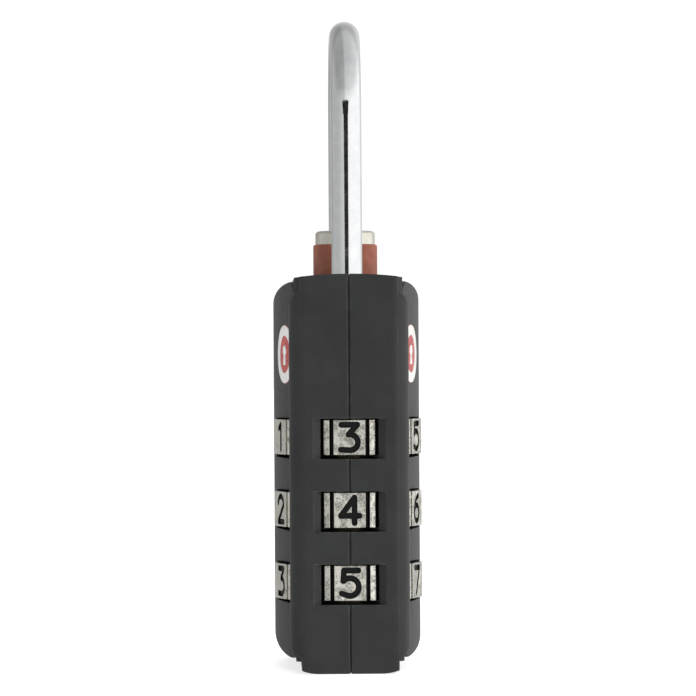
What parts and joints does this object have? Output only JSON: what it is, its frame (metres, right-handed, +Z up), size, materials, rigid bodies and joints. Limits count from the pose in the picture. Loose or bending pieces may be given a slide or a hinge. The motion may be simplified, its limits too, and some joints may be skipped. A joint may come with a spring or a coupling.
{
  "type": "combination travel padlock",
  "caption": "Slim combination padlock with dial wheels showing on its narrow edge and both faces, a plated bow shackle and a pop-up indicator.",
  "frame": {"origin": "middle of the base, on the joint of the two case halves", "axes": "+Z up along the shackle's legs, -Y the dial edge, X through the thickness with +X to the right of the dial edge"},
  "size_m": [0.0148, 0.03, 0.066],
  "materials": {
    "case": "matte",
    "badge": "gloss",
    "dial_nickel": "satin",
    "shackle_chrome": "polished",
    "nickel": "polished",
    "collar_red": "satin",
    "brass": "machined",
    "brass_plug": "satin",
    "steel": "brushed",
    "spring_steel": "drawn",
    "nylon": "moulded"
  },
  "bodies": {
    "root": {"left_shell": "case", "right_shell": "case", "left_badge": "badge", "right_badge": "badge", "assembly_pins": "steel", "detent_spring": "spring_steel", "thrust_washer": "brass", "leg_bush": "nylon", "toe_bush": "steel", "cylinder_barrel": "brass", "barrel_pin": "steel", "indicator_spring": "spring_steel", "release_spring": "spring_steel"},
    "dial_wheel_1": {"dial_1": "dial_nickel", "clutch_sleeve_1": "brass"},
    "dial_wheel_2": {"dial_2": "dial_nickel", "clutch_sleeve_2": "brass"},
    "dial_wheel_3": {"dial_3": "dial_nickel", "clutch_sleeve_3": "brass"},
    "shackle_group": {"shackle": "shackle_chrome", "finned_spindle": "steel", "spindle_pin": "steel"},
    "indicator": {"indicator_cap": "nickel", "indicator_collar": "collar_red", "indicator_clip": "spring_steel"},
    "keyway": {"key_plug": "brass_plug", "key_wafers": "brass", "plug_clip": "spring_steel", "release_cam": "steel"},
    "release": {"release_slide": "steel"}
  },
  "joints": [
    {"name": "dial_1_turn", "type": "hinge", "parent": "root", "child": "dial_wheel_1", "pos_m": [0, -0.007, 0.0235], "axis": [0, 0, 1], "continuous": true},
    {"name": "dial_2_turn", "type": "hinge", "parent": "root", "child": "dial_wheel_2", "pos_m": [0, -0.007, 0.01625], "axis": [0, 0, 1], "continuous": true},
    {"name": "dial_3_turn", "type": "hinge", "parent": "root", "child": "dial_wheel_3", "pos_m": [0, -0.007, 0.009], "axis": [0, 0, 1], "continuous": true},
    {"name": "shackle_slide", "type": "slide", "parent": "root", "child": "shackle_group", "axis": [0, 0, 1], "range_m": [0, 0.00725]},
    {"name": "indicator_press", "type": "slide", "parent": "root", "child": "indicator", "axis": [0, 0, 1], "range_m": [-0.0032, 0], "stiffness_N_per_m": 120, "springref_m": 0.002, "deforming": ["indicator_spring"]},
    {"name": "key_plug_turn", "type": "hinge", "parent": "root", "child": "keyway", "pos_m": [0, 0.007, 0.0069], "axis": [0, 0, 1], "range_deg": [0, 90]},
    {"name": "release_draw", "type": "slide", "parent": "root", "child": "release", "axis": [0, 1, 0], "range_m": [0, 0.0013], "deforming": ["release_spring"]}
  ],
  "couplings": [
    {"joint": "key_plug_turn", "follows": "release_draw", "rad_per_m": 1208.3}
  ]
}
